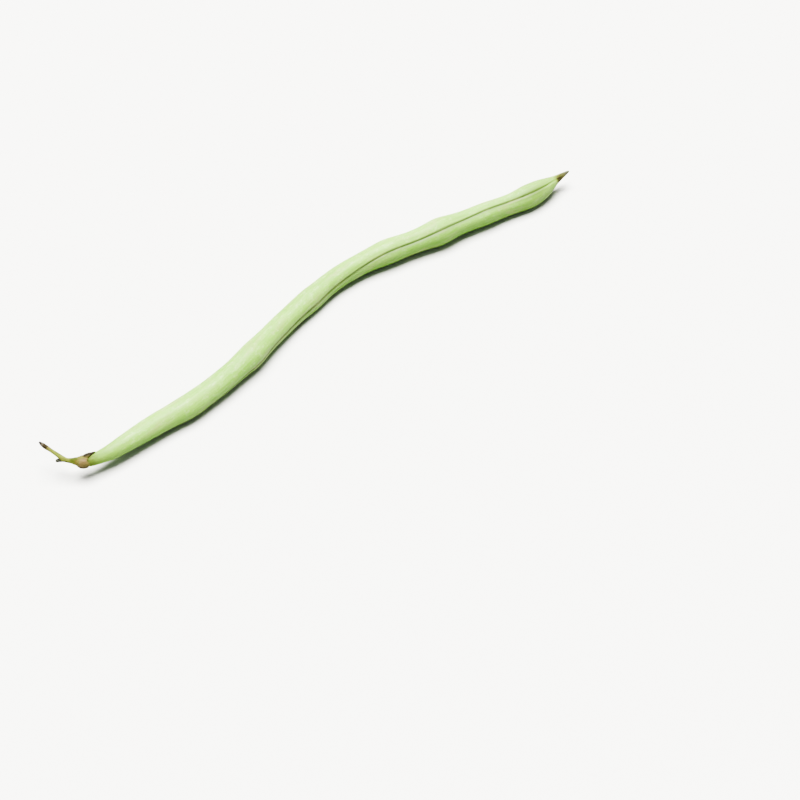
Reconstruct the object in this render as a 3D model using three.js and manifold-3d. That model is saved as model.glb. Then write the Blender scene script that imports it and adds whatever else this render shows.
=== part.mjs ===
// One green bean, picked with its stalk: a long twisted pod, the withered calyx round its neck, and the
// stalk. It lies on a table, resting on the undersides of three swollen seeds.
// Millimetres, +Z up. X runs from the stalk end to the beak. The origin is under the middle of the bean.
import * as THREE from 'three';
import { mergeVertices } from 'three/addons/utils/BufferGeometryUtils.js';
import Module from 'manifold-3d';

// The bean's axis, as [station, x, y, z]. A station is the distance along the bean from the pod's base, and
// is negative on the stalk. The pod rises to the calyx at one end and to the beak at the other.
const AXIS = [
  [-12.9, -6.7, 9.4, 9.5],
  [-11.5, -6.3, 8.2, 8.9],
  [-9.3, -5.42, 6.41, 7.9],
  [-8, -4.92, 5.37, 7.35],
  [-6.7, -4.45, 4.26, 6.8],
  [-5.5, -3.98, 3.26, 6.3],
  [-4.5, -3.47, 2.56, 6.05],
  [-3.2, -2.56, 1.82, 5.76],
  [-1.95, -1.57, 1.13, 5.44],
  [0, 0, 0.12, 4.88],
  [3, 2.9, -0.56, 4.43],
  [8, 8, -0.9, 3.9],
  [20, 20, -0.5, 3.4],
  [34, 34, -0.6, 3.3],
  [46, 46, 0.75, 3.55],
  [58, 58, 3.6, 3.7],
  [70, 70, 7, 3.35],
  [82, 82, 9.7, 3.15],
  [93, 93, 11, 3.35],
  [106, 106, 10, 3.65],
  [118, 118, 7.4, 3.8],
  [130, 130, 5.3, 3.8],
  [142, 142, 3.1, 3.45],
  [153, 153, 1.2, 3.15],
  [160, 160, 0.6, 3.4],
  [166, 166, 0.35, 4.15],
  [170.7, 170.7, 0, 4.9],
];

// The pod's radius between its seeds, as [station, radius]. The last six knots are the pointed beak.
const GIRTH = [
  [-0.4, 1.08],
  [1.2, 1.4],
  [4, 1.64],
  [8, 2.1],
  [13, 2.5],
  [21, 2.88],
  [37, 3.08],
  [67, 3.1],
  [92, 3.04],
  [115, 3.36],
  [135, 3.24],
  [148, 3.04],
  [156, 3.1],
  [160.5, 2.95],
  [163.2, 2.35],
  [165.2, 1.62],
  [167.2, 1.06],
  [169.2, 0.66],
  [170.7, 0.28],
];
const BEAK_START = 158;
const POD_OVAL = 0.02; // how much further out the two seams lie than the sides, as a share of the radius
const BEAK_OVAL = 0.16;

// Seeds under the skin, as [station, swell]. Not every ovule set a seed, so spacing and swell are uneven.
const SEEDS = [
  [20, 0.06],
  [32, 0.42],
  [43.5, 0.12],
  [55, 0.6],
  [67, 0.06],
  [79.5, 0.36],
  [93, 0.04],
  [108, 0.46],
  [125, 0.76],
  [140.5, 0.2],
  [155, 0.54],
];
const SEED_REACH = 4.6;
const DORSAL_FLATNESS = 0.8; // seeds hang from the ventral seam, so the back of the pod swells least

// Where the ventral seam lies round the pod, in degrees from straight up towards the bean's right-hand side.
const SEAM_TURN = [
  [0, 124],
  [30, 120],
  [48, 104],
  [60, 93],
  [70, 84],
  [82, 77],
  [94, 68],
  [106, 49],
  [118, 45],
  [130, 37],
  [140, 27],
  [148, 28],
  [158, 34],
  [170.7, 36],
];
const VALLEY = { depth: 0.3, width: 0.4 }; // the broad dip between the two valves, width in radians
const GROOVE = { depth: 0.15, width: 0.1 }; // the line of the seam itself
const BACK_RIB = { height: 0.08, width: 0.16 }; // the dorsal seam stands slightly proud
const SEAM_FADE = [6, 12, 161, 167]; // stations between which the seams rise from the neck and run out

// The stalk's radius, as [station, radius], from its dried cut end to where it widens into the calyx.
const STALK_GIRTH = [
  [-12.9, 0.2],
  [-12.5, 0.36],
  [-11.9, 0.46],
  [-11, 0.56],
  [-10.3, 0.54],
  [-9.3, 0.47],
  [-8, 0.52],
  [-6.7, 0.57],
  [-5.5, 0.64],
  [-4.5, 0.58],
  [-3.2, 0.7],
  [-2.4, 0.94],
  [-1.98, 1.02],
  [-1.72, 0.86],
  [-1.4, 0.78],
];
const STALK_RIBS = { count: 5, height: 0.05 }; // height as a share of the radius
const NUB = { station: -5, toward: [-1.2, 0.95, -0.25], sides: 10 };
// The withered stub beside the stalk's kink, as [radius, distance from the stalk's axis].
const NUB_PROFILE = [
  [0, 0],
  [0.5, 0],
  [0.5, 0.8],
  [0.42, 1.25],
  [0.46, 1.75],
  [0.36, 2.25],
  [0.18, 2.48],
  [0, 2.5],
];

// The calyx cup as [radius, station], closed on the axis at both ends: the hollow that takes the stalk, the
// outer wall, and the hollow that takes the pod's neck.
const CALYX_PROFILE = [
  [0, -1.28],
  [0.92, -1.28],
  [0.98, -1.82],
  [1.07, -1.88],
  [1.38, -1.4],
  [1.64, -0.9],
  [1.74, -0.3],
  [1.7, 0.12],
  [1.56, 0.52],
  [1.39, 0.55],
  [1.29, 0.1],
  [1.14, -0.52],
  [0, -0.52],
];
const CALYX_RIM = 0.55; // the rim's station before its teeth grow from it
const TEETH = { count: 5, length: 0.4, sharpness: 1.5 };
// The dried lobe along the neck: its turn and width in degrees, and how far it lifts at a station.
const LONG_TOOTH = { turn: -38, width: 32, length: 2.9, lift: 0.22, liftAt: 1.4, liftReach: 1.5 };

const POD_SIDES = 28;
const POD_RINGS = 136;
const RING_CROWDING = 0.6; // how much closer the pod's rings stand at its two ends
const SIDE_CROWDING = 0.55; // how much closer its sides stand at the seam
const STALK_SIDES = 14;
const STALK_RINGS = 30;
const CALYX_SIDES = 44;

const UP = new THREE.Vector3(0, 0, 1);
const radians = THREE.MathUtils.degToRad;

// The values of a table of [station, ...values] at a station, on smooth cubic pieces through its knots.
function through(knots, station) {
  const last = knots.length - 1;
  let i = 0;
  while (i < last - 1 && station > knots[i + 1][0]) i++;
  const slope = (k, column) => {
    const before = knots[Math.max(k - 1, 0)];
    const after = knots[Math.min(k + 1, last)];
    return (after[column] - before[column]) / (after[0] - before[0]);
  };
  const [from, to] = [knots[i], knots[i + 1]];
  const span = to[0] - from[0];
  const u = THREE.MathUtils.clamp((station - from[0]) / span, 0, 1);
  return from.slice(1).map((value, k) => {
    const rise = to[k + 1] - value;
    const leave = slope(i, k + 1) * span;
    const arrive = slope(i + 1, k + 1) * span;
    return value + u * (leave + u * (3 * rise - 2 * leave - arrive + u * (leave + arrive - 2 * rise)));
  });
}

// The point at a station of the axis, at a turn round it and a distance out from it.
// A turn is in radians from straight up, towards the bean's right-hand side.
function roundAxis(station, turn, out) {
  const step = 0.05;
  const centre = new THREE.Vector3(...through(AXIS, station));
  const ahead = new THREE.Vector3(...through(AXIS, station + step));
  const behind = new THREE.Vector3(...through(AXIS, station - step));
  const forward = ahead.sub(behind).normalize();
  const right = new THREE.Vector3().crossVectors(forward, UP).normalize();
  const above = new THREE.Vector3().crossVectors(right, forward);
  return centre.addScaledVector(above, out * Math.cos(turn)).addScaledVector(right, out * Math.sin(turn));
}

// Moves each vertex of a geometry turned about Y to place(height on Y, turn round Y, distance from Y).
function reshape(geometry, place) {
  const position = geometry.getAttribute('position');
  for (let i = 0; i < position.count; i++) {
    const x = position.getX(i);
    const z = position.getZ(i);
    const point = place(position.getY(i), Math.atan2(x, z), Math.hypot(x, z));
    position.setXYZ(i, point.x, point.y, point.z);
  }
  geometry.computeVertexNormals();
  return geometry;
}

const bell = (distance, width) => Math.exp(-((distance / width) ** 2));

// The pod's radius at a station and at a turn from its ventral seam, from -PI to PI.
function podRadius(station, fromSeam) {
  const [riseFrom, riseTo, fallFrom, fallTo] = SEAM_FADE;
  const { smoothstep } = THREE.MathUtils;
  const seams = smoothstep(station, riseFrom, riseTo) * (1 - smoothstep(station, fallFrom, fallTo));
  const oval = POD_OVAL + (BEAK_OVAL - POD_OVAL) * smoothstep(station, BEAK_START, fallTo);
  const swell = SEEDS.reduce((sum, [at, height]) => sum + height * bell(station - at, SEED_REACH), 0);
  const backness = ((1 - Math.cos(fromSeam)) / 2) ** 3;
  const relief =
    BACK_RIB.height * bell(Math.abs(fromSeam) - Math.PI, BACK_RIB.width) -
    VALLEY.depth * bell(fromSeam, VALLEY.width) -
    GROOVE.depth * bell(fromSeam, GROOVE.width);
  const girth = through(GIRTH, station)[0] * (1 + oval * Math.cos(2 * fromSeam));
  return girth + swell * (1 - DORSAL_FLATNESS * backness) + seams * relief;
}

// The pod: a closed cylinder drawn out along the axis.
function makePod() {
  const [first, last] = [GIRTH[0][0], GIRTH.at(-1)[0]];
  const geometry = new THREE.CylinderGeometry(1, 1, 1, POD_SIDES, POD_RINGS).translate(0, 0.5, 0);
  return reshape(geometry, (height, turn, out) => {
    const along = height - (RING_CROWDING * Math.sin(2 * Math.PI * height)) / (2 * Math.PI);
    const station = first + (last - first) * along;
    const fromSeam = turn - SIDE_CROWDING * Math.sin(turn);
    const seamTurn = radians(through(SEAM_TURN, station)[0]);
    const point = roundAxis(station, seamTurn + fromSeam, out * podRadius(station, fromSeam));
    point.z = Math.max(point.z, 0); // flat where it lies on the table
    return point;
  });
}

// The calyx: a cup turned about the axis, whose free rim grows into short teeth and one long dried lobe.
function makeCalyx() {
  const profile = CALYX_PROFILE.map(([radius, station]) => new THREE.Vector2(radius, station));
  return reshape(new THREE.LatheGeometry(profile, CALYX_SIDES), (height, turn, out) => {
    const rimShare = Math.max(0, height / CALYX_RIM);
    const tooth = TEETH.length * Math.abs(Math.cos((TEETH.count * turn) / 2)) ** TEETH.sharpness;
    const fromLong = turn - radians(LONG_TOOTH.turn);
    const off = THREE.MathUtils.euclideanModulo(fromLong + Math.PI, 2 * Math.PI) - Math.PI;
    const inLong = bell(off, radians(LONG_TOOTH.width));
    const longTooth = LONG_TOOTH.length * inLong;
    const station = height + rimShare * Math.max(tooth, longTooth);
    const widening = Math.max(0, through(GIRTH, station)[0] - through(GIRTH, height)[0]);
    const lifted = rimShare > 0 ? inLong * bell(station - LONG_TOOTH.liftAt, LONG_TOOTH.liftReach) : 0;
    return roundAxis(station, turn, out + (out > 0 ? widening + LONG_TOOTH.lift * lifted : 0));
  });
}

// A closed geometry as a solid for joining, with its shared vertices merged.
function solidOf(wasm, geometry) {
  const bare = geometry.clone().deleteAttribute('normal').deleteAttribute('uv');
  const merged = mergeVertices(bare);
  const { array } = merged.getAttribute('position');
  const triVerts = new Uint32Array(merged.index.array);
  return new wasm.Manifold(new wasm.Mesh({ numProp: 3, vertProperties: array, triVerts }));
}

// The stalk: a faintly ribbed twig, kinked at a node that keeps the dark stub of its twin's stalk.
function makeStalk(wasm) {
  const [first, last] = [STALK_GIRTH[0][0], STALK_GIRTH.at(-1)[0]];
  const geometry = new THREE.CylinderGeometry(1, 1, 1, STALK_SIDES, STALK_RINGS).translate(0, 0.5, 0);
  const twig = reshape(geometry, (height, turn, out) => {
    const station = first + (last - first) * height;
    const ribs = 1 + STALK_RIBS.height * Math.cos(STALK_RIBS.count * turn);
    return roundAxis(station, turn, out * ribs * through(STALK_GIRTH, station)[0]);
  });

  const direction = new THREE.Vector3(...NUB.toward).normalize();
  const root = new THREE.Vector3(...through(AXIS, NUB.station));
  const section = NUB_PROFILE.map(([radius, distance]) => new THREE.Vector2(radius, distance));
  const nub = new THREE.LatheGeometry(section, NUB.sides)
    .applyQuaternion(new THREE.Quaternion().setFromUnitVectors(new THREE.Vector3(0, 1, 0), direction))
    .translate(root.x, root.y, root.z);

  const joined = solidOf(wasm, twig).add(solidOf(wasm, nub)).getMesh();
  const whole = new THREE.BufferGeometry();
  whole.setAttribute('position', new THREE.BufferAttribute(joined.vertProperties, 3));
  whole.setIndex(new THREE.BufferAttribute(joined.triVerts, 1));
  whole.computeVertexNormals();
  return whole;
}

const skin = new THREE.MeshStandardMaterial({ color: '#a9c77c', roughness: 0.45, metalness: 0 });
const dryCalyx = new THREE.MeshStandardMaterial({ color: '#a98a5c', roughness: 0.85, metalness: 0 });
const stalkBark = new THREE.MeshStandardMaterial({ color: '#a7ad58', roughness: 0.7, metalness: 0 });

function named(name, geometry, material) {
  const mesh = new THREE.Mesh(geometry, material);
  mesh.name = name;
  return mesh;
}

const wasm = await Module();
wasm.setup();

const greenBean = new THREE.Group();
greenBean.add(
  named('pod', makePod(), skin),
  named('calyx', makeCalyx(), dryCalyx),
  named('stalk', makeStalk(wasm), stalkBark),
);

// The origin goes on the table, under the middle of the bean.
const extent = new THREE.Box3().setFromObject(greenBean);
const middle = extent.getCenter(new THREE.Vector3());
greenBean.position.set(-middle.x, -middle.y, -extent.min.z);

export default greenBean;
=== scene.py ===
# One green bean lying on a pale table: its fine surface, its materials, the light and the camera.
import math

import bpy
import numpy as np
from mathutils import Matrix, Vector, noise


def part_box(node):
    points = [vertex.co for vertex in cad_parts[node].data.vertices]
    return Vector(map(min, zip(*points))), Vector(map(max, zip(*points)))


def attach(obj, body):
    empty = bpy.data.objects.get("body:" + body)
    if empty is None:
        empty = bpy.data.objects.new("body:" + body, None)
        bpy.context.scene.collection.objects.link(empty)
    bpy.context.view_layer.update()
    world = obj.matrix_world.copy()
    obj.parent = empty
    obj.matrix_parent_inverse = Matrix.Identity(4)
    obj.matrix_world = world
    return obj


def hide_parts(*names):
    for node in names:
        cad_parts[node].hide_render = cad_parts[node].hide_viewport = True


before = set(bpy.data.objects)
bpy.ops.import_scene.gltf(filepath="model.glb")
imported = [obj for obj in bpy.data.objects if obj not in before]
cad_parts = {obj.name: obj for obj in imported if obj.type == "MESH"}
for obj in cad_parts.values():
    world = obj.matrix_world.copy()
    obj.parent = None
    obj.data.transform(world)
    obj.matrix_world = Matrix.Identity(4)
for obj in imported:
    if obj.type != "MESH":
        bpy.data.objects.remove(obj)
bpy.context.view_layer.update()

# The bean's shape is the CAD model's, with finer relief. It is in millimetres, in a frame whose origin is at
# the pod's base. A station is the distance along the bean from there. It is negative on the calyx and stalk.
MM = 0.001

# Station and the middle of the bean there: x along it, y to its left and z up.
AXIS = [
    [-12.9, -6.7, 9.4, 9.5],
    [-11.5, -6.3, 8.2, 8.9],
    [-9.3, -5.42, 6.41, 7.9],
    [-8, -4.92, 5.37, 7.35],
    [-6.7, -4.45, 4.26, 6.8],
    [-5.5, -3.98, 3.26, 6.3],
    [-4.5, -3.47, 2.56, 6.05],
    [-3.2, -2.56, 1.82, 5.76],
    [-1.95, -1.57, 1.13, 5.44],
    [0, 0, 0.12, 4.88],
    [3, 2.9, -0.56, 4.43],
    [8, 8, -0.9, 3.9],
    [20, 20, -0.5, 3.4],
    [34, 34, -0.6, 3.3],
    [46, 46, 0.75, 3.55],
    [58, 58, 3.6, 3.7],
    [70, 70, 7, 3.35],
    [82, 82, 9.7, 3.15],
    [93, 93, 11, 3.35],
    [106, 106, 10, 3.65],
    [118, 118, 7.4, 3.8],
    [130, 130, 5.3, 3.8],
    [142, 142, 3.1, 3.45],
    [153, 153, 1.2, 3.15],
    [160, 160, 0.6, 3.4],
    [166, 166, 0.35, 4.15],
    [170.7, 170.7, 0, 4.9],
]

# Station and the pod's radius between its seeds.
GIRTH = [
    [-0.4, 1.08],
    [1.2, 1.4],
    [4, 1.64],
    [8, 2.1],
    [13, 2.5],
    [21, 2.88],
    [37, 3.08],
    [67, 3.1],
    [92, 3.04],
    [115, 3.36],
    [135, 3.24],
    [148, 3.04],
    [156, 3.1],
    [160.5, 2.95],
    [163.2, 2.35],
    [165.2, 1.62],
    [167.2, 1.06],
    [169.2, 0.66],
    [170.7, 0.28],
]
BEAK_START = 158
TIP_ROUNDING = (170.1, 0.6, 0.97)  # station where it starts, its length and its depth as a share
POD_OVAL = 0.02  # how much further out the seams lie than the sides, as a share
BEAK_OVAL = 0.16

# Station of each seed and how far it swells the skin.
SEEDS = [
    [20, 0.06],
    [32, 0.42],
    [43.5, 0.12],
    [55, 0.6],
    [67, 0.06],
    [79.5, 0.36],
    [93, 0.04],
    [108, 0.46],
    [125, 0.76],
    [140.5, 0.2],
    [155, 0.54],
]
SEED_REACH = 4.6
DORSAL_FLATNESS = 0.8  # seeds hang from the ventral seam, so the back swells least

# Station and where the ventral seam lies, in degrees from straight up towards the bean's right-hand side.
SEAM_TURN = [
    [0, 124],
    [30, 120],
    [48, 104],
    [60, 93],
    [70, 84],
    [82, 77],
    [94, 68],
    [106, 49],
    [118, 45],
    [130, 37],
    [140, 27],
    [148, 28],
    [158, 34],
    [170.7, 36],
]
SEAM_FADE = (6, 12, 161, 167)  # stations between which the seams rise and run out
VALLEY = (0.3, 0.4)  # depth, and width in radians
GROOVE = (0.17, 0.08)
LIPS = (0.05, 0.19, 0.07)  # height, distance from the seam and width
BACK_RIB = (0.09, 0.13)  # height and width
BACK_LINE = (0.05, 0.035)  # depth and width, on the rib's crest

# Station and the stalk's radius.
STALK_GIRTH = [
    [-12.9, 0.2],
    [-12.5, 0.36],
    [-11.9, 0.46],
    [-11, 0.56],
    [-10.3, 0.54],
    [-9.3, 0.47],
    [-8, 0.52],
    [-6.7, 0.57],
    [-5.5, 0.64],
    [-4.5, 0.58],
    [-3.2, 0.7],
    [-2.4, 0.94],
    [-1.9, 1.04],
    [-1.3, 1.12],
]
STALK_RIBS = (5, 0.05, 0.12)  # count, height as a share, and twist in radians for a mm

STUB_ROOT_STATION = -5
STUB_TOWARD = (-1.2, 0.95, -0.25)
# Distance from the stub's root and its radius.
STUB_GIRTH = [
    [0, 0.5],
    [0.8, 0.5],
    [1.25, 0.42],
    [1.75, 0.46],
    [2.2, 0.38],
    [2.4, 0.25],
    [2.48, 0.08],
]

# The calyx's section as radius and station: from the stalk round the outer wall to the rim, and down inside.
CALYX_PROFILE = [
    [0.9, -1.7],
    [1.04, -1.9],
    [1.38, -1.4],
    [1.64, -0.9],
    [1.74, -0.3],
    [1.7, 0.12],
    [1.57, 0.48],
    [1.48, 0.58],
    [1.39, 0.5],
    [1.29, 0.1],
    [1.1, -0.5],
]
CALYX_RIM = 0.55  # the rim's station before its lobes grow from it
RIM_LIMIT = 1.05  # the furthest part of the wall, as a share of that station
TEETH = (5, 0.4, 1.5)  # count, length and sharpness of the short lobes
LONG_TOOTH_TURN = math.radians(-38)
LONG_TOOTH_WIDTH = math.radians(32)
LONG_TOOTH_LENGTH = 2.9
LONG_TOOTH_LIFT = (0.22, 1.4, 1.5)  # height, station and reach
PATCH_TURN = math.radians(52)  # the tan patch's middle
UNDERSIDE_TURN = math.radians(130)  # the brown side's middle
LOBE_STRIP = (0.25, -1.7, 0.4)  # its turn from the long lobe, and the stations between which its stain grows
CALYX_FOOT = -2.2  # the station below which the calyx has no wrinkles

# Each piece's rings along it and sides round it.
POD_GRID = (960, 100)
CALYX_GRID = (90, 200)
STALK_GRID = (260, 56)
STUB_GRID = (50, 36)
RING_CROWDING = 0.45  # how much closer the pod's rings lie at its two ends, as a share
SIDE_CROWDING = (0.3, 0.2)  # how its sides crowd: at the seam alone, and at the seam and the back alike

# The radius of the straightened pieces, on which the patterns are laid.
POD_RADIUS = 3.2
CALYX_RADIUS = 1.7
STALK_RADIUS = 0.7
STUB_RADIUS = 0.35

# Ripples: their height, as a length or as a share of the radius, their pitch on each axis and their offset.
POD_DENTS = (0.06, (14, 3.5, 3.5), 0)
POD_RIPPLES = (0.035, (3.2, 1.5, 1.5), 7.3)
HUSK_WRINKLES = (0.16, (3, 1.1, 1.1), 3.1)
NECK_WRINKLES = (0.05, (4, 0.9, 0.9), 5.7)
CALYX_RAGS = (0.16, (0.5, 0.5, 0.5), 2.2)
CALYX_WRINKLES = (0.05, (2.5, 0.45, 0.45), 0)
CALYX_CRUMPLES = (0.03, (0.5, 0.4, 0.4), 4.4)
STALK_RIPPLES = (0.05, (2, 0.3, 0.3), 0)
STALK_CRUMPLES = (0.22, (0.8, 0.35, 0.35), 6.1)
STUB_WRINKLES = (0.25, (0.5, 0.25, 0.25), 0)
HUSK_STATIONS = (163, 166.5)  # the wrinkles of the beak's dry husk begin between these
NECK_STATIONS = (1, 9)  # the neck's wrinkles fade out between these
DRY_TIP_STATIONS = (-11.6, -10.2)  # the crumples of the stalk's dry end fade out between these

# The camera stands where the photograph was taken from, and looks at a point of the table. Its angles are in
# degrees, its distance and that point in millimetres, and its clip range in metres.
CAMERA_AZIMUTH = -39.96
CAMERA_ELEVATION = 50
CAMERA_DISTANCE = 445
CAMERA_LENS = 75
SENSOR_WIDTH = 36
CAMERA_CLIP = (0.01, 50)
LOOK_AT = Vector((77.67, -32.73, 0))

# The light, in metres and degrees: one wide soft light high behind the bean, a dim pale room that lights it
# from all round, and a brighter backdrop that only the camera sees.
KEY_AZIMUTH = 158
KEY_ELEVATION = 78
KEY_DISTANCE = 12.0
KEY_SIZE = 8.4
KEY_POWER = 5400
KEY_COLOUR = (1.0, 0.99, 0.96)
ROOM_COLOUR = (0.93, 0.97, 1.0, 1)
ROOM_STRENGTH = 0.26
BACKDROP_COLOUR = (1.0, 1.0, 1.0, 1)
BACKDROP_STRENGTH = 2.3
FLOOR_HALF_SIZE = 16.0


def through(knots, station):
    """The values of a table at each station, on smooth cubic pieces through its knots."""
    knots = np.array(knots, float)
    at, values = knots[:, 0], knots[:, 1:]
    last = len(at) - 1
    before = np.maximum(np.arange(last + 1) - 1, 0)
    after = np.minimum(np.arange(last + 1) + 1, last)
    painted_slope_shade = (values[after] - values[before]) / (at[after] - at[before])[:, None]
    i = np.clip(np.searchsorted(at, station, side="right") - 1, 0, last - 1)
    span = (at[i + 1] - at[i])[..., None]
    u = np.clip((station - at[i])[..., None] / span, 0, 1)
    rise = values[i + 1] - values[i]
    leave, arrive = painted_slope_shade[i] * span, painted_slope_shade[i + 1] * span
    return values[i] + u * (leave + u * (3 * rise - 2 * leave - arrive + u * (leave + arrive - 2 * rise)))


def round_axis(station, turn, out):
    """Points at stations of the axis, at turns round it from straight up and distances out from it."""
    step = 0.05
    ahead = through(AXIS, station + step) - through(AXIS, station - step)
    forward = ahead / np.linalg.norm(ahead, axis=-1, keepdims=True)
    right = np.cross(forward, [0.0, 0.0, 1.0])
    right /= np.linalg.norm(right, axis=-1, keepdims=True)
    above = np.cross(right, forward)
    away = np.cos(turn)[..., None] * above + np.sin(turn)[..., None] * right
    return through(AXIS, station) + out[..., None] * away


def bell(distance, width):
    return np.exp(-((distance / width) ** 2))


def smoothstep(value, low, high):
    u = np.clip((value - low) / (high - low), 0, 1)
    return u * u * (3 - 2 * u)


def ripple(points, height, pitch, offset):
    """Smooth noise of a height at points, with features about pitch long on each axis."""
    scaled = (points / np.array(pitch)).reshape(-1, 3) + offset
    values = [noise.noise(Vector(point)) for point in scaled]
    return height * np.array(values).reshape(points.shape[:-1])


def grid(along, sides):
    """The values along a piece and the turns round it, as two grids of rings by sides."""
    turn = np.linspace(-np.pi, np.pi, sides, endpoint=False)
    return np.meshgrid(along, turn, indexing="ij")


def straightened(station, turn, radius):
    """The same grid on a straight bean, where patterns follow its length."""
    return np.stack([station, radius * np.cos(turn), radius * np.sin(turn)], axis=-1)


def piece(name, points, node, material, numbers):
    """A closed mesh through a grid of points. It stands for a CAD node and keeps numbers on its vertices."""
    rings, sides = points.shape[:2]
    ring = np.arange(rings - 1)[:, None] * sides
    side = np.arange(sides)[None, :]
    beside = (side + 1) % sides
    quads = np.stack([ring + side, ring + beside, ring + sides + beside, ring + sides + side], axis=-1)
    first_cap = list(range(sides))[::-1]
    last_cap = list(range((rings - 1) * sides, rings * sides))
    faces = quads.reshape(-1, 4).tolist() + [first_cap, last_cap]
    mesh = bpy.data.meshes.new(name)
    mesh.from_pydata((points.reshape(-1, 3) * MM).tolist(), [], faces)
    for key, values in numbers.items():
        wide = values.ndim == 3
        layer = mesh.attributes.new(key, "FLOAT_VECTOR" if wide else "FLOAT", "POINT")
        layer.data.foreach_set("vector" if wide else "value", values.astype(np.float32).ravel())
    mesh.shade_smooth()
    mesh.materials.append(material)
    obj = bpy.data.objects.new(name, mesh)
    bpy.context.collection.objects.link(obj)
    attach(obj, "root")
    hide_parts(node)


# The materials


def rgb(red, green, blue):
    """A shader's colour from its sRGB screen values, 0 to 255."""
    shares = np.array([red, green, blue]) / 255
    linear = np.where(shares < 0.04045, shares / 12.92, ((shares + 0.055) / 1.055) ** 2.4)
    return (*linear.tolist(), 1.0)


FLOOR = rgb(208, 208, 206)

# The colours of the pod, of the calyx, and of the stalk with its stub, painted light and shade among them.
SKIN = {
    "green": rgb(116, 160, 62),
    "light_green": rgb(130, 172, 74),
    "streaks": rgb(152, 184, 106),
    "grain": rgb(102, 144, 50),
    "bloom_and_painted_light": rgb(168, 190, 134),
    "painted_shade_low_side": rgb(92, 138, 40),
    "painted_lip_highlight": rgb(162, 192, 112),
    "painted_furrow_shade": rgb(102, 132, 62),
    "painted_slope_shade": rgb(86, 116, 46),
    "seam_line": rgb(88, 106, 62),
    "back_line": rgb(84, 114, 44),
    "dull": rgb(142, 150, 96),
    "specks": rgb(120, 128, 62),
    "neck": rgb(112, 142, 60),
    "neck_rim": rgb(88, 102, 40),
    "beak": rgb(104, 130, 56),
    "husk_edge": rgb(128, 138, 62),
    "husk": rgb(98, 102, 60),
    "husk_grain": rgb(80, 82, 48),
    "stain": rgb(58, 50, 16),
    "tip": rgb(84, 82, 74),
}
CALYX = {
    "tan": rgb(110, 94, 60),
    "pink_tan": rgb(124, 102, 74),
    "tan_fibres": rgb(96, 84, 50),
    "olive": rgb(106, 106, 48),
    "dark_olive": rgb(90, 86, 40),
    "edge": rgb(88, 86, 46),
    "underside": rgb(62, 44, 24),
    "lobe": rgb(84, 76, 36),
    "lobe_middle": rgb(44, 38, 22),
}
BARK = {
    "green": rgb(96, 106, 42),
    "fibres": rgb(120, 128, 62),
    "blotches": rgb(96, 96, 42),
    "painted_shade_by_calyx": rgb(66, 76, 22),
    "near_cup": rgb(112, 94, 50),
    "by_stub": rgb(48, 52, 20),
    "dry": rgb(112, 100, 62),
    "dark_end": rgb(54, 46, 28),
    "pale_spot": rgb(104, 98, 86),
    "cut": rgb(56, 54, 54),
    "stub_root": rgb(116, 120, 60),
    "stub": rgb(52, 54, 42),
    "stub_grain": rgb(92, 94, 80),
}

# The patterns: features to a mm along the bean and across it, detail and roughness.
SKIN_PATTERNS = {
    "broad": (0.05, 0.16, 3, 0.5),
    "streaks": (0.12, 1.6, 4, 0.6),
    "grain": (0.9, 1.7, 4, 0.65),
    "bloom_and_painted_light": (0.5, 0.9, 5, 0.7),
    "dull": (0.16, 0.5, 4, 0.6),
    "pores": (1.6, 4.5, 3, 0.6),
}
SPECK_CELLS = (0.5, 0.7)
CALYX_PATTERNS = {
    "blotches": (0.9, 0.9, 4, 0.6),
    "fibres": (0.7, 5, 3, 0.6),
}
BARK_PATTERNS = {
    "blotches": (0.4, 0.9, 3, 0.5),
    "fibres": (0.5, 6, 3, 0.6),
    "stub": (2, 5, 3, 0.6),
}

# The bumps' height in metres and their strength.
GRAIN_BUMP = (0.06 * MM, 0.6)
PORE_BUMP = (0.012 * MM, 0.6)
CALYX_BUMP = (0.08 * MM, 0.8)
STALK_BUMP = (0.08 * MM, 0.7)
STUB_BUMP = (0.1 * MM, 0.8)

# Angles from the seam, in radians, between which its colours and its painted shade fade.
SEAM_AT = {
    "painted_furrow_shade": (0.05, 0.36),
    "painted_slope_shade": (0.1, 0.62),
    "seam_line": (0.04, 0.26),
    "back_line": (math.pi - 0.07, math.pi - 0.01),
}
LIP_HIGHLIGHT_AT = 0.2  # the middle of each lip's pale band
LIP_HIGHLIGHT_REACH = 0.13

# Stations between which the pod's, the calyx's and the stalk's colours, painted shade among them, come or
# go.
POD_AT = {
    "seam_rises": (6, 14),
    "seam_ends": (156, 164),
    "painted_slope_shade": (138, 158),
    "neck": (3.0, 15.0),
    "neck_rim": (0.8, 4.5),
    "beak": (146, 162),
    "husk_edge": (163.4, 166.2),
    "husk": (165.4, 167.6),
    "stain_starts": (164.6, 165.8),
    "stain_ends": (166.4, 168.4),
    "tip": (168.0, 169.6),
    "rough_neck": (1.5, 7.0),
    "rough_beak": (164.2, 166.4),
}
CALYX_AT = {
    "patch_starts": (-1.7, -1.0),
    "patch_ends": (-0.1, 0.5),
    "underside": (-1.7, -0.6),
}
BARK_AT = {
    "near_cup": (-2.2, -0.9),
    "dry": (-10.2, -9.2),
    "dark_end": (-10.7, -10.1),
    "cut": (-12.5, -12.1),
}
# Stations of the middles of the stalk's bands of colour; the band next to the calyx is painted shade.
SHADE_BY_CALYX = -2.7
BY_STUB = -4.5
PALE_SPOT = -11.9


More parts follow.
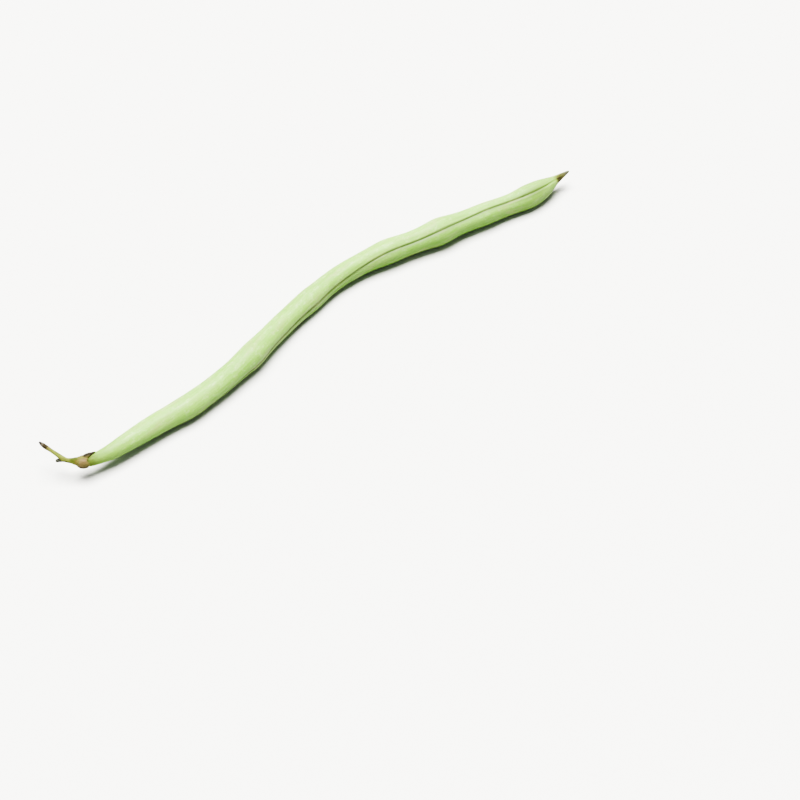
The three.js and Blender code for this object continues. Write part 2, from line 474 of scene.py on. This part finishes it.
class Nodes:
    """Short calls for building one material's node tree."""

    def __init__(self, name, **constants):
        self.material = bpy.data.materials.new(name)
        self.material.use_nodes = True
        self.tree = self.material.node_tree
        self.shader = self.tree.nodes["Principled BSDF"]
        for socket, value in constants.items():
            self.shader.inputs[socket.replace("_", " ")].default_value = value

    def put(self, value, socket):
        if isinstance(value, bpy.types.NodeSocket):
            self.tree.links.new(value, socket)
        else:
            socket.default_value = value

    def node(self, kind, **settings):
        node = self.tree.nodes.new("ShaderNode" + kind)
        for key, value in settings.items():
            setattr(node, key, value)
        return node

    def kept(self, name, output="Fac"):
        """A number, or with output Vector three numbers, kept on the mesh's vertices."""
        return self.node("Attribute", attribute_name=name).outputs[output]

    def stretched(self, along, across):
        """Places on the straightened bean, for so many features to a mm along it and across it."""
        node = self.node("VectorMath", operation="MULTIPLY")
        self.put(self.kept("straight", "Vector"), node.inputs[0])
        node.inputs[1].default_value = (along, across, across)
        return node.outputs["Vector"]

    def noise(self, along, across, detail, roughness):
        node = self.node("TexNoise")
        self.put(self.stretched(along, across), node.inputs["Vector"])
        for socket, number in (("Scale", 1.0), ("Detail", detail), ("Roughness", roughness)):
            node.inputs[socket].default_value = number
        return node.outputs["Fac"]

    def cells(self, along, across):
        node = self.node("TexVoronoi")
        self.put(self.stretched(along, across), node.inputs["Vector"])
        node.inputs["Scale"].default_value = 1.0
        return node.outputs["Distance"]

    def math(self, operation, first, second=0.0):
        node = self.node("Math", operation=operation)
        self.put(first, node.inputs[0])
        self.put(second, node.inputs[1])
        return node.outputs["Value"]

    def plus(self, first, second):
        return self.math("ADD", first, second)

    def times(self, first, second):
        return self.math("MULTIPLY", first, second)

    def apart(self, first, second):
        return self.math("ABSOLUTE", self.math("SUBTRACT", first, second))

    def ragged(self, value, pattern, amount):
        """A value moved up and down by a pattern that runs from 0 to 1."""
        return self.plus(value, self.times(self.math("SUBTRACT", pattern, 0.5), amount))

    def fade(self, value, low, high, start=0.0, end=1.0):
        """start below low, end above high, and smooth between."""
        node = self.node("MapRange", interpolation_type="SMOOTHSTEP")
        self.put(value, node.inputs["Value"])
        for socket, number in zip(("From Min", "From Max", "To Min", "To Max"), (low, high, start, end)):
            node.inputs[socket].default_value = number
        return node.outputs["Result"]

    def mix(self, amount, first, second):
        node = self.node("Mix", data_type="RGBA")
        for value, socket in zip((amount, first, second), (node.inputs[i] for i in (0, 6, 7))):
            self.put(value, socket)
        return node.outputs[2]

    def bump(self, height, distance, strength, over=None):
        node = self.node("Bump")
        self.put(height, node.inputs["Height"])
        node.inputs["Distance"].default_value = distance
        node.inputs["Strength"].default_value = strength
        if over:
            self.put(over, node.inputs["Normal"])
        return node.outputs["Normal"]

    def finish(self, colour, roughness, normal):
        self.put(colour, self.shader.inputs["Base Color"])
        self.put(roughness, self.shader.inputs["Roughness"])
        self.put(normal, self.shader.inputs["Normal"])
        return self.material


def seam_colours(n, colour, station):
    """Painted highlights on the ridges beside the seam, painted shade in its groove and on the valves by the
    beak, the seam's dark line, and the line on the back.
    """
    from_seam = n.kept("from_seam")
    seam_here = n.times(n.fade(station, *POD_AT["seam_rises"]), n.fade(station, *POD_AT["seam_ends"], 1, 0))
    # Painted highlight: a paler band on each ridge beside the seam.
    painted_lip_highlight = n.fade(n.apart(from_seam, LIP_HIGHLIGHT_AT), 0.0, LIP_HIGHLIGHT_REACH, 0.3, 0.0)
    colour = n.mix(painted_lip_highlight, colour, SKIN["painted_lip_highlight"])
    # Painted shade in the groove along the seam.
    painted_furrow_shade = n.times(n.fade(from_seam, *SEAM_AT["painted_furrow_shade"], 0.38, 0.0), seam_here)
    colour = n.mix(painted_furrow_shade, colour, SKIN["painted_furrow_shade"])
    # Painted shade on the valves by the beak, where they fall to the seam.
    by_beak = n.times(n.fade(station, *POD_AT["painted_slope_shade"]), seam_here)
    painted_slope_shade = n.times(n.fade(from_seam, *SEAM_AT["painted_slope_shade"], 0.75, 0.0), by_beak)
    colour = n.mix(painted_slope_shade, colour, SKIN["painted_slope_shade"])
    seam_line = n.times(n.fade(from_seam, *SEAM_AT["seam_line"], 0.7, 0.0), seam_here)
    colour = n.mix(seam_line, colour, SKIN["seam_line"])
    back_line = n.times(n.fade(from_seam, *SEAM_AT["back_line"], 0.0, 0.55), seam_here)
    return n.mix(back_line, colour, SKIN["back_line"])


def beak_colours(n, colour, station, streaks, grain):
    """The beak turns dull, then into a ragged dry husk, stained on its low side and grey at its tip."""
    colour = n.mix(n.fade(station, *POD_AT["beak"], 0.0, 0.45), colour, SKIN["beak"])
    ragged = n.ragged(station, streaks, 2.4)
    colour = n.mix(n.fade(ragged, *POD_AT["husk_edge"], 0, 0.6), colour, SKIN["husk_edge"])
    husk = n.mix(n.fade(grain, 0.4, 0.65, 0, 0.6), SKIN["husk"], SKIN["husk_grain"])
    colour = n.mix(n.fade(ragged, *POD_AT["husk"]), colour, husk)
    stain = n.times(n.fade(ragged, *POD_AT["stain_starts"]), n.fade(ragged, *POD_AT["stain_ends"], 1, 0.25))
    stain = n.times(n.fade(n.kept("right_side"), -0.3, 0.7, 0.0, 0.95), stain)
    colour = n.mix(stain, colour, SKIN["stain"])
    colour = n.mix(n.fade(ragged, *POD_AT["tip"], 0, 0.75), colour, SKIN["tip"])
    return colour, n.fade(ragged, *POD_AT["rough_beak"])


def pod_material():
    """Satin green skin with a pale waxy frost, painted lighter on top and deeper green below as painted
    light and shade, a dull dark seam, an olive neck and a dry brown beak.
    """
    n = Nodes(
        "pod_skin",
        Subsurface_Weight=0.3,
        Subsurface_Radius=(0.6, 1.0, 0.3),
        Subsurface_Scale=MM,
        Specular_IOR_Level=0.34,
        Sheen_Weight=0.04,
        Sheen_Roughness=0.6,
        Sheen_Tint=(0.96, 1.0, 0.93, 1),
    )
    station, upper = n.kept("station"), n.kept("upper")
    broad = n.noise(*SKIN_PATTERNS["broad"])
    streaks = n.noise(*SKIN_PATTERNS["streaks"])
    grain = n.noise(*SKIN_PATTERNS["grain"])
    bloom_and_painted_light = n.noise(*SKIN_PATTERNS["bloom_and_painted_light"])
    dull = n.noise(*SKIN_PATTERNS["dull"])
    pores = n.noise(*SKIN_PATTERNS["pores"])

    colour = n.mix(n.fade(broad, 0.3, 0.7), SKIN["green"], SKIN["light_green"])
    colour = n.mix(n.fade(streaks, 0.35, 0.75, 0, 0.45), colour, SKIN["streaks"])
    colour = n.mix(n.fade(grain, 0.52, 0.72, 0, 0.4), colour, SKIN["grain"])
    # Pale waxy frost all round, painted heavier on the top as painted light.
    bloom_and_painted_light = n.times(n.fade(bloom_and_painted_light, 0.5, 0.68, 0, 0.42), n.fade(upper, 0.0, 0.7, 0.3, 1.0))
    colour = n.mix(bloom_and_painted_light, colour, SKIN["bloom_and_painted_light"])
    # Painted shade: the pod turns a deeper green towards its lower side.
    colour = n.mix(n.fade(upper, -0.25, 0.5, 0.8, 0.0), colour, SKIN["painted_shade_low_side"])
    colour = seam_colours(n, colour, station)
    colour = n.mix(n.fade(dull, 0.48, 0.7, 0, 0.45), colour, SKIN["dull"])
    specks = n.times(n.fade(n.cells(*SPECK_CELLS), 0.03, 0.09, 0.5, 0.0), n.fade(broad, 0.5, 0.62))
    colour = n.mix(specks, colour, SKIN["specks"])

    near_neck = n.ragged(station, grain, 3.0)
    colour = n.mix(n.fade(near_neck, *POD_AT["neck"], 0.75, 0.0), colour, SKIN["neck"])
    colour = n.mix(n.fade(near_neck, *POD_AT["neck_rim"], 0.92, 0.0), colour, SKIN["neck_rim"])
    colour, dry_beak = beak_colours(n, colour, station, streaks, grain)

    dry = n.plus(dry_beak, n.fade(near_neck, *POD_AT["rough_neck"], 0.8, 0.0))
    roughness = n.plus(n.fade(grain, 0.3, 0.7, 0.5, 0.58), n.times(dry, 0.35))
    normal = n.bump(grain, *GRAIN_BUMP)
    normal = n.bump(pores, *PORE_BUMP, normal)
    return n.finish(colour, roughness, normal)


def calyx_material():
    """Dried leaf tissue: olive with a pinkish tan patch, brown underneath, and dark along the long lobe."""
    n = Nodes("dry_calyx", Sheen_Weight=0.1, Specular_IOR_Level=0.3)
    station = n.kept("station")
    blotches = n.noise(*CALYX_PATTERNS["blotches"])
    fibres = n.noise(*CALYX_PATTERNS["fibres"])
    tan = n.mix(n.fade(blotches, 0.35, 0.65), CALYX["tan"], CALYX["pink_tan"])
    tan = n.mix(n.fade(fibres, 0.45, 0.7, 0, 0.5), tan, CALYX["tan_fibres"])
    olive = n.mix(n.fade(fibres, 0.35, 0.7), CALYX["olive"], CALYX["dark_olive"])
    patch = n.fade(n.ragged(n.kept("patch"), blotches, 0.8), 0.5, 1.0, 0.0, 0.85)
    patch = n.times(patch, n.fade(station, *CALYX_AT["patch_starts"]))
    patch = n.times(patch, n.fade(station, *CALYX_AT["patch_ends"], 1.0, 0.35))
    colour = n.mix(patch, olive, tan)
    edge = n.ragged(n.kept("rim"), fibres, 0.8)
    colour = n.mix(n.fade(edge, 0.6, 1.1, 0, 0.5), colour, CALYX["edge"])
    under = n.times(n.fade(n.kept("underside"), 0.6, 0.92), n.fade(station, *CALYX_AT["underside"]))
    colour = n.mix(n.times(under, 0.85), colour, CALYX["underside"])
    strip = n.ragged(n.ragged(n.kept("lobe_strip"), fibres, 0.5), blotches, 0.5)
    colour = n.mix(n.fade(strip, 0.1, 0.6, 0, 0.7), colour, CALYX["lobe"])
    colour = n.mix(n.fade(strip, 0.4, 0.9), colour, CALYX["lobe_middle"])
    return n.finish(colour, n.fade(fibres, 0.3, 0.7, 0.7, 0.9), n.bump(fibres, *CALYX_BUMP))


def stalk_material():
    """Yellow-green stem with fine fibres, dark by the stub, and dried brown and grey at its thin end."""
    n = Nodes("stalk_bark", Sheen_Weight=0.1, Specular_IOR_Level=0.25)
    station = n.kept("station")
    fibres = n.noise(*BARK_PATTERNS["fibres"])
    blotches = n.noise(*BARK_PATTERNS["blotches"])
    colour = n.mix(n.fade(fibres, 0.35, 0.65), BARK["green"], BARK["fibres"])
    colour = n.mix(n.fade(blotches, 0.45, 0.7, 0, 0.5), colour, BARK["blotches"])
    # Painted shade on the stalk's top beside the calyx.
    painted_shade_by_calyx = n.fade(n.apart(station, SHADE_BY_CALYX), 0.5, 1.5, 0.85, 0.0)
    colour = n.mix(n.times(painted_shade_by_calyx, n.fade(n.kept("upper"), 0.1, 0.8)), colour, BARK["painted_shade_by_calyx"])
    near_cup = n.fade(n.plus(station, n.times(blotches, 1.6)), *BARK_AT["near_cup"], 0, 0.9)
    colour = n.mix(n.times(near_cup, n.fade(n.kept("right_side"), 0.1, 0.8)), colour, BARK["near_cup"])
    by_stub = n.fade(n.apart(station, BY_STUB), 0.4, 1.2, 0.9, 0.0)
    colour = n.mix(n.times(n.fade(n.kept("underside"), 0.1, 0.75), by_stub), colour, BARK["by_stub"])
    ragged = n.ragged(station, fibres, 1.2)
    colour = n.mix(n.fade(ragged, *BARK_AT["dry"], 0.7, 0.0), colour, BARK["dry"])
    colour = n.mix(n.fade(ragged, *BARK_AT["dark_end"], 0.95, 0.0), colour, BARK["dark_end"])
    colour = n.mix(n.fade(n.apart(ragged, PALE_SPOT), 0.1, 0.35, 0.6, 0.0), colour, BARK["pale_spot"])
    colour = n.mix(n.fade(ragged, *BARK_AT["cut"], 0.95, 0.0), colour, BARK["cut"])
    return n.finish(colour, n.fade(fibres, 0.3, 0.7, 0.72, 0.9), n.bump(fibres, *STALK_BUMP))


def stub_material():
    """Shrivelled, nearly black stub."""
    n = Nodes("stub", Specular_IOR_Level=0.35)
    grain = n.noise(*BARK_PATTERNS["stub"])
    colour = n.mix(n.fade(n.kept("station"), 0.5, 1.1), BARK["stub_root"], BARK["stub"])
    colour = n.mix(n.fade(grain, 0.4, 0.7, 0, 0.6), colour, BARK["stub_grain"])
    return n.finish(colour, n.fade(grain, 0.3, 0.7, 0.65, 0.85), n.bump(grain, *STUB_BUMP))


# The bean's pieces. Each make function gives its piece's points, in millimetres, and the numbers that its
# material reads.


def pod_radius(station, from_seam):
    """How far the skin lies from the axis: its girth, the swells over the seeds and the seams' relief."""
    rise_from, rise_to, fall_from, fall_to = SEAM_FADE
    seams = smoothstep(station, rise_from, rise_to) * (1 - smoothstep(station, fall_from, fall_to))
    oval = POD_OVAL + (BEAK_OVAL - POD_OVAL) * smoothstep(station, BEAK_START, fall_to)
    swell = sum(height * bell(station - at, SEED_REACH) for at, height in SEEDS)
    backness = ((1 - np.cos(from_seam)) / 2) ** 3
    beside, behind = np.abs(from_seam), np.pi - np.abs(from_seam)
    relief = (
        LIPS[0] * bell(beside - LIPS[1], LIPS[2])
        + BACK_RIB[0] * bell(behind, BACK_RIB[1])
        - BACK_LINE[0] * bell(behind, BACK_LINE[1])
        - VALLEY[0] * bell(from_seam, VALLEY[1])
        - GROOVE[0] * bell(from_seam, GROOVE[1])
    )
    girth = through(GIRTH, station)[..., 0] * (1 + oval * np.cos(2 * from_seam))
    return girth + swell * (1 - DORSAL_FLATNESS * backness) + seams * relief


def make_pod():
    rings, sides = POD_GRID
    along = np.linspace(0, 1, rings)
    crowded = along - RING_CROWDING * np.sin(2 * np.pi * along) / (2 * np.pi)
    station, turn = grid(GIRTH[0][0] + (GIRTH[-1][0] - GIRTH[0][0]) * crowded, sides)
    from_seam = turn - SIDE_CROWDING[0] * np.sin(turn) - SIDE_CROWDING[1] * np.sin(2 * turn)

    straight = straightened(station, from_seam, POD_RADIUS)
    radius = pod_radius(station, from_seam) + ripple(straight, *POD_DENTS) + ripple(straight, *POD_RIPPLES)
    radius *= 1 + smoothstep(station, *HUSK_STATIONS) * ripple(straight, *HUSK_WRINKLES)
    tip_from, tip_length, tip_depth = TIP_ROUNDING
    radius *= np.sqrt(1 - tip_depth * np.clip((station - tip_from) / tip_length, 0, 1) ** 2)
    radius *= 1 + (1 - smoothstep(station, *NECK_STATIONS)) * ripple(straight, *NECK_WRINKLES)

    seam_turn = np.radians(through(SEAM_TURN, station)[..., 0])
    points = round_axis(station, seam_turn + from_seam, radius)
    points[..., 2] = np.maximum(points[..., 2], 0)  # the three spots that it rests on are flat
    numbers = {
        "station": station,
        "from_seam": np.abs(from_seam),
        "right_side": np.sin(seam_turn + from_seam),
        "upper": np.cos(seam_turn + from_seam),
        "straight": straight,
    }
    return points, numbers


def make_calyx():
    rings, sides = CALYX_GRID
    profile = [[i, *point] for i, point in enumerate(CALYX_PROFILE)]
    out, height = through(profile, np.linspace(0, len(CALYX_PROFILE) - 1, rings)).T
    height, around = grid(height, sides)
    out = out[:, None]

    # The rim's lobes grow from the outer wall and the inner one alike, and they follow the pod as it widens.
    rim = np.clip(height / CALYX_RIM, 0, RIM_LIMIT)
    off = (around - LONG_TOOTH_TURN + np.pi) % (2 * np.pi) - np.pi
    long_lobe = bell(off, LONG_TOOTH_WIDTH)
    count, length, sharpness = TEETH
    teeth = length * np.abs(np.cos(count * around / 2)) ** sharpness
    ragged = ripple(straightened(height * 0, around, CALYX_RADIUS), *CALYX_RAGS)
    station = height + rim * (np.maximum(teeth, LONG_TOOTH_LENGTH * long_lobe) + ragged)
    widening = through(GIRTH, station)[..., 0] - through(GIRTH, height)[..., 0]
    straight = straightened(station, around, CALYX_RADIUS)
    wrinkles = ripple(straight, *CALYX_WRINKLES) + ripple(straight, *CALYX_CRUMPLES)
    lift_height, lift_at, lift_reach = LONG_TOOTH_LIFT
    lift = lift_height * long_lobe * bell(station - lift_at, lift_reach) * (rim > 0)
    radius = out + np.maximum(widening, 0) + lift + wrinkles * np.clip(height - CALYX_FOOT, 0, 1)
    strip_turn, strip_from, strip_to = LOBE_STRIP
    numbers = {
        "station": height,
        "rim": rim,
        "lobe_strip": bell(off - strip_turn, LONG_TOOTH_WIDTH) * smoothstep(height, strip_from, strip_to),
        "patch": np.cos(around - PATCH_TURN),
        "underside": np.cos(around - UNDERSIDE_TURN),
        "straight": straight,
    }
    return round_axis(station, around, radius), numbers


def make_stalk():
    rings, sides = STALK_GRID
    station, around = grid(np.linspace(STALK_GIRTH[0][0], STALK_GIRTH[-1][0], rings), sides)
    straight = straightened(station, around, STALK_RADIUS)
    count, height, twist = STALK_RIBS
    radius = through(STALK_GIRTH, station)[..., 0] * (1 + height * np.cos(count * around + twist * station))
    radius *= 1 + ripple(straight, *STALK_RIPPLES)
    radius *= 1 + (1 - smoothstep(station, *DRY_TIP_STATIONS)) * ripple(straight, *STALK_CRUMPLES)
    numbers = {
        "station": station,
        "right_side": np.sin(around),
        "upper": np.cos(around),
        "underside": np.cos(around - UNDERSIDE_TURN),
        "straight": straight,
    }
    return round_axis(station, around, radius), numbers


def make_stub():
    rings, sides = STUB_GRID
    along, around = grid(np.linspace(STUB_GIRTH[0][0], STUB_GIRTH[-1][0], rings), sides)
    straight = straightened(along, around, STUB_RADIUS)
    radius = through(STUB_GIRTH, along)[..., 0] * (1 + ripple(straight, *STUB_WRINKLES))
    forward = Vector(STUB_TOWARD).normalized()
    right = forward.cross(Vector((0, 0, 1))).normalized()
    above = right.cross(forward)
    root = through(AXIS, np.array(STUB_ROOT_STATION))
    points = root + along[..., None] * np.array(forward)
    points = points + (radius * np.cos(around))[..., None] * np.array(above)
    points = points + (radius * np.sin(around))[..., None] * np.array(right)
    return points, {"station": along, "straight": straight}


pod_points, pod_numbers = make_pod()
calyx_points, calyx_numbers = make_calyx()
stalk_points, stalk_numbers = make_stalk()
stub_points, stub_numbers = make_stub()

# The CAD model's origin is under the middle of the whole bean, so its pod tells how far it was moved.
low, high = (np.array(corner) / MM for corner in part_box("pod"))
own_low, own_high = pod_points.reshape(-1, 3).min(axis=0), pod_points.reshape(-1, 3).max(axis=0)
SHIFT = (low + high - own_low - own_high) / 2
SHIFT[2] = low[2] - own_low[2]

piece("pod_body", pod_points + SHIFT, "pod", pod_material(), pod_numbers)
piece("calyx_cup", calyx_points + SHIFT, "calyx", calyx_material(), calyx_numbers)
piece("stalk_twig", stalk_points + SHIFT, "stalk", stalk_material(), stalk_numbers)
piece("stalk_stub", stub_points + SHIFT, "stalk", stub_material(), stub_numbers)


# The table, the light and the camera


def make_floor():
    half = FLOOR_HALF_SIZE
    mesh = bpy.data.meshes.new("table_top")
    corners = [(-half, -half, 0), (half, -half, 0), (half, half, 0), (-half, half, 0)]
    mesh.from_pydata(corners, [], [(0, 1, 2, 3)])
    floor = bpy.data.objects.new("table_top", mesh)
    bpy.context.collection.objects.link(floor)
    n = Nodes("table_white", Base_Color=FLOOR, Roughness=0.9, Specular_IOR_Level=0.1)
    mesh.materials.append(n.material)


def aimed(name, data, target, azimuth, elevation, distance):
    """A camera or light that faces a target, from an azimuth and elevation in degrees and a distance."""
    azimuth, elevation = math.radians(azimuth), math.radians(elevation)
    level = math.cos(elevation)
    back = Vector((math.sin(azimuth) * level, -math.cos(azimuth) * level, math.sin(elevation)))
    obj = bpy.data.objects.new(name, data)
    obj.location = target + back * distance
    obj.rotation_euler = back.to_track_quat("Z", "Y").to_euler()
    bpy.context.collection.objects.link(obj)
    return obj


def make_room():
    """A dim pale room that lights the bean, behind a bright backdrop that only the camera sees."""
    world = bpy.data.worlds.new("studio")
    world.use_nodes = True
    tree = world.node_tree
    room = tree.nodes["Background"]
    room.inputs["Color"].default_value = ROOM_COLOUR
    room.inputs["Strength"].default_value = ROOM_STRENGTH
    backdrop = tree.nodes.new("ShaderNodeBackground")
    backdrop.inputs["Color"].default_value = BACKDROP_COLOUR
    backdrop.inputs["Strength"].default_value = BACKDROP_STRENGTH
    ray = tree.nodes.new("ShaderNodeLightPath")
    choice = tree.nodes.new("ShaderNodeMixShader")
    tree.links.new(ray.outputs["Is Camera Ray"], choice.inputs[0])
    tree.links.new(room.outputs[0], choice.inputs[1])
    tree.links.new(backdrop.outputs[0], choice.inputs[2])
    tree.links.new(choice.outputs[0], tree.nodes["World Output"].inputs["Surface"])
    bpy.context.scene.world = world


def make_key_light():
    light = bpy.data.lights.new("key_softbox", "AREA")
    light.shape = "SQUARE"
    light.size = KEY_SIZE
    light.energy = KEY_POWER
    light.color = KEY_COLOUR
    aimed("key_softbox", light, Vector((0, 0, 0)), KEY_AZIMUTH, KEY_ELEVATION, KEY_DISTANCE)


def make_camera():
    data = bpy.data.cameras.new("photo_camera")
    data.lens = CAMERA_LENS
    data.sensor_width = SENSOR_WIDTH
    data.clip_start, data.clip_end = CAMERA_CLIP
    target = (LOOK_AT + Vector(SHIFT)) * MM
    camera = aimed("photo_camera", data, target, CAMERA_AZIMUTH, CAMERA_ELEVATION, CAMERA_DISTANCE * MM)
    bpy.context.scene.camera = camera


make_floor()
make_room()
make_key_light()
make_camera()
bpy.context.scene.view_settings.view_transform = "AgX"
bpy.context.scene.view_settings.look = "AgX - Very High Contrast"
